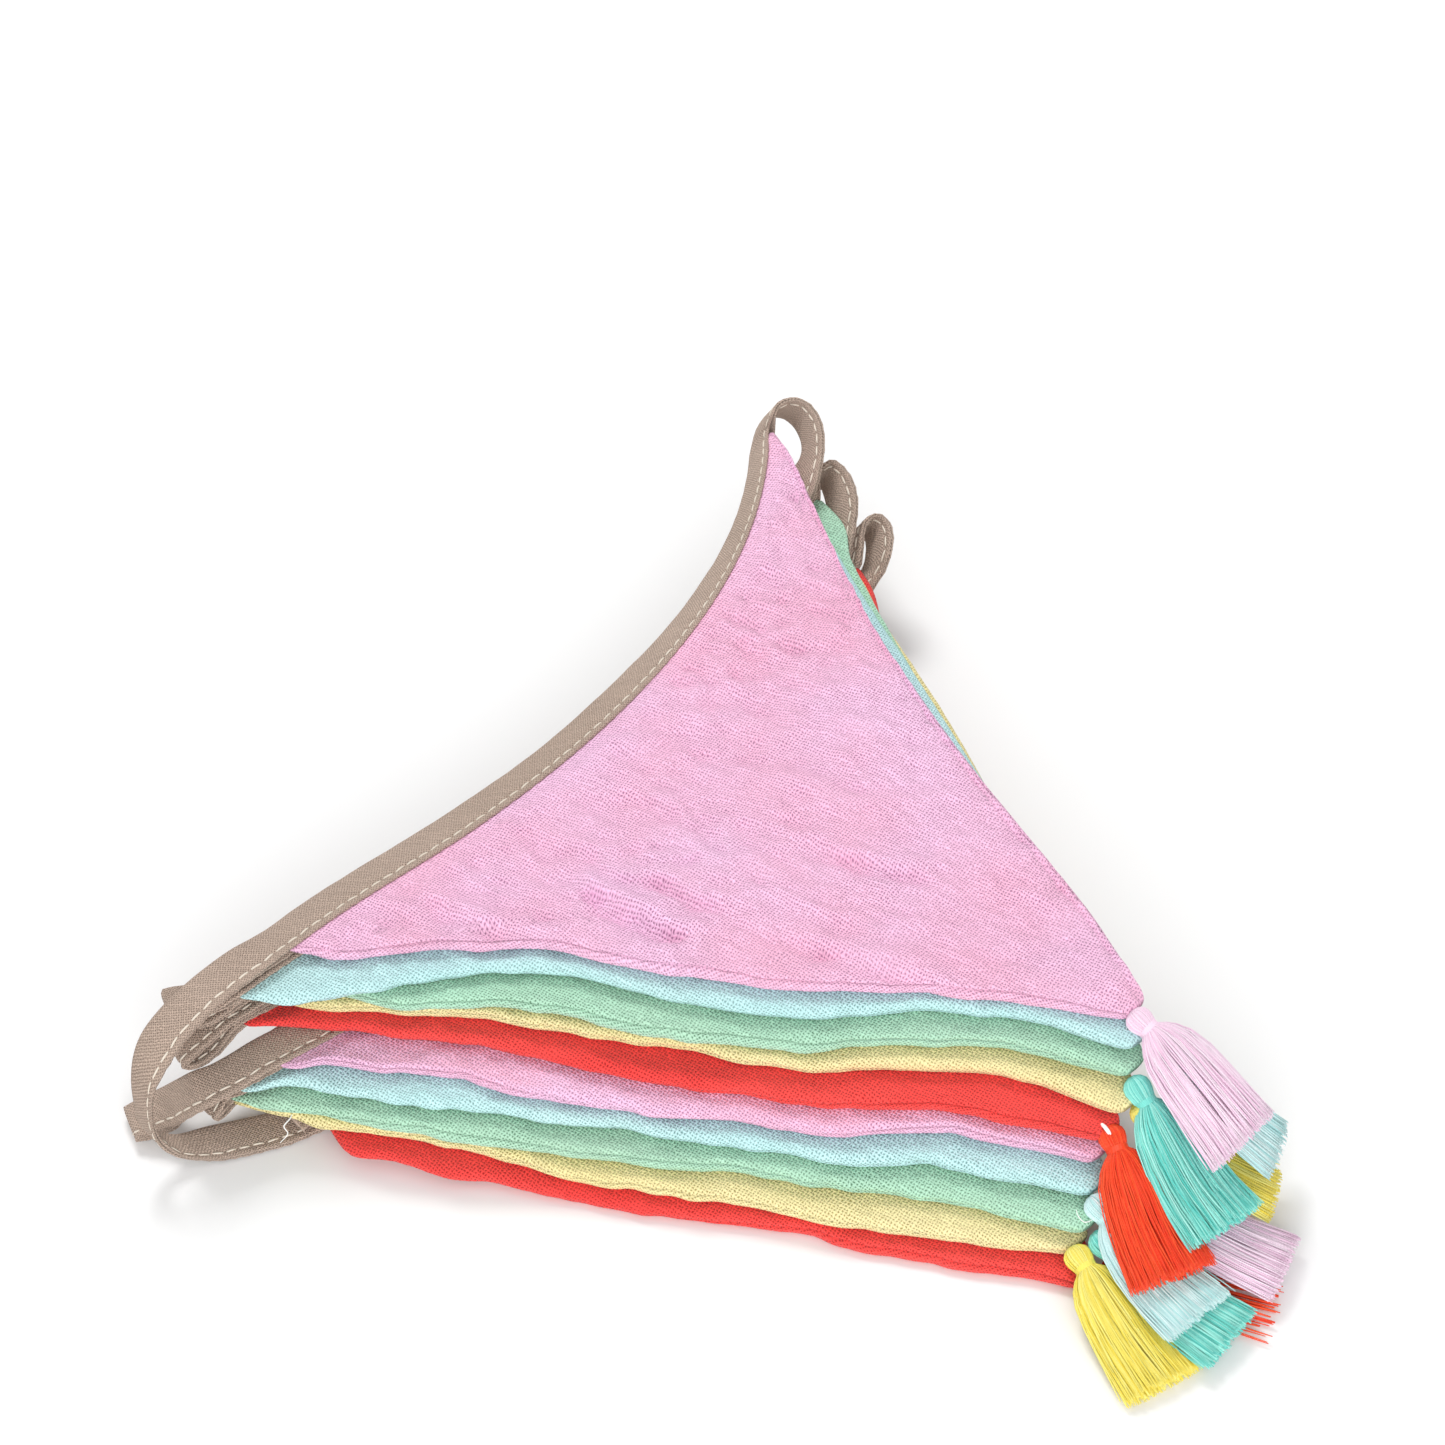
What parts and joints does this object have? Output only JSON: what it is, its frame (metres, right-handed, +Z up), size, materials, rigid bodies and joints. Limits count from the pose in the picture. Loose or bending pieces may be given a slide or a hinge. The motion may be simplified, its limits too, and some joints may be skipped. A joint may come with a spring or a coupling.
{
  "type": "fabric tassel garland",
  "caption": "Fabric pennant garland with tassels, folded back and forth into a flat triangular stack on its binding tape.",
  "frame": {"origin": "centre of the underside of the bounding box, on the surface the stack rests on", "axes": "+Z up through the stack, +Y from the fanned front edges towards the far corner with the tape loops, +X towards the tassels"},
  "size_m": [0.252, 0.2648, 0.0408],
  "materials": {
    "pink_gauze": "matt crinkled cotton gauze",
    "aqua_gauze": "matt crinkled cotton gauze",
    "green_gauze": "matt crinkled cotton gauze",
    "yellow_gauze": "matt crinkled cotton gauze",
    "red_gauze": "matt crinkled cotton gauze",
    "tan_tape": "matt woven cotton bias tape",
    "light_pink_thread": "soft cotton embroidery thread",
    "light_aqua_thread": "soft cotton embroidery thread",
    "teal_thread": "soft cotton embroidery thread",
    "bright_yellow_thread": "soft cotton embroidery thread",
    "orange_red_thread": "soft cotton embroidery thread"
  },
  "bodies": {
    "root": {"pennant_1": "pink_gauze", "pennant_2": "aqua_gauze", "pennant_3": "green_gauze", "pennant_4": "yellow_gauze", "pennant_5": "red_gauze", "pennant_6": "pink_gauze", "pennant_7": "aqua_gauze", "pennant_8": "green_gauze", "pennant_9": "yellow_gauze", "pennant_10": "red_gauze", "bias_tape": "tan_tape", "tassel_1": "light_pink_thread", "tassel_2": "light_aqua_thread", "tassel_3": "teal_thread", "tassel_4": "bright_yellow_thread", "tassel_5": "orange_red_thread", "tassel_6": "light_pink_thread", "tassel_7": "light_aqua_thread", "tassel_8": "teal_thread", "tassel_9": "bright_yellow_thread", "tassel_10": "orange_red_thread"}
  },
  "joints": []
}
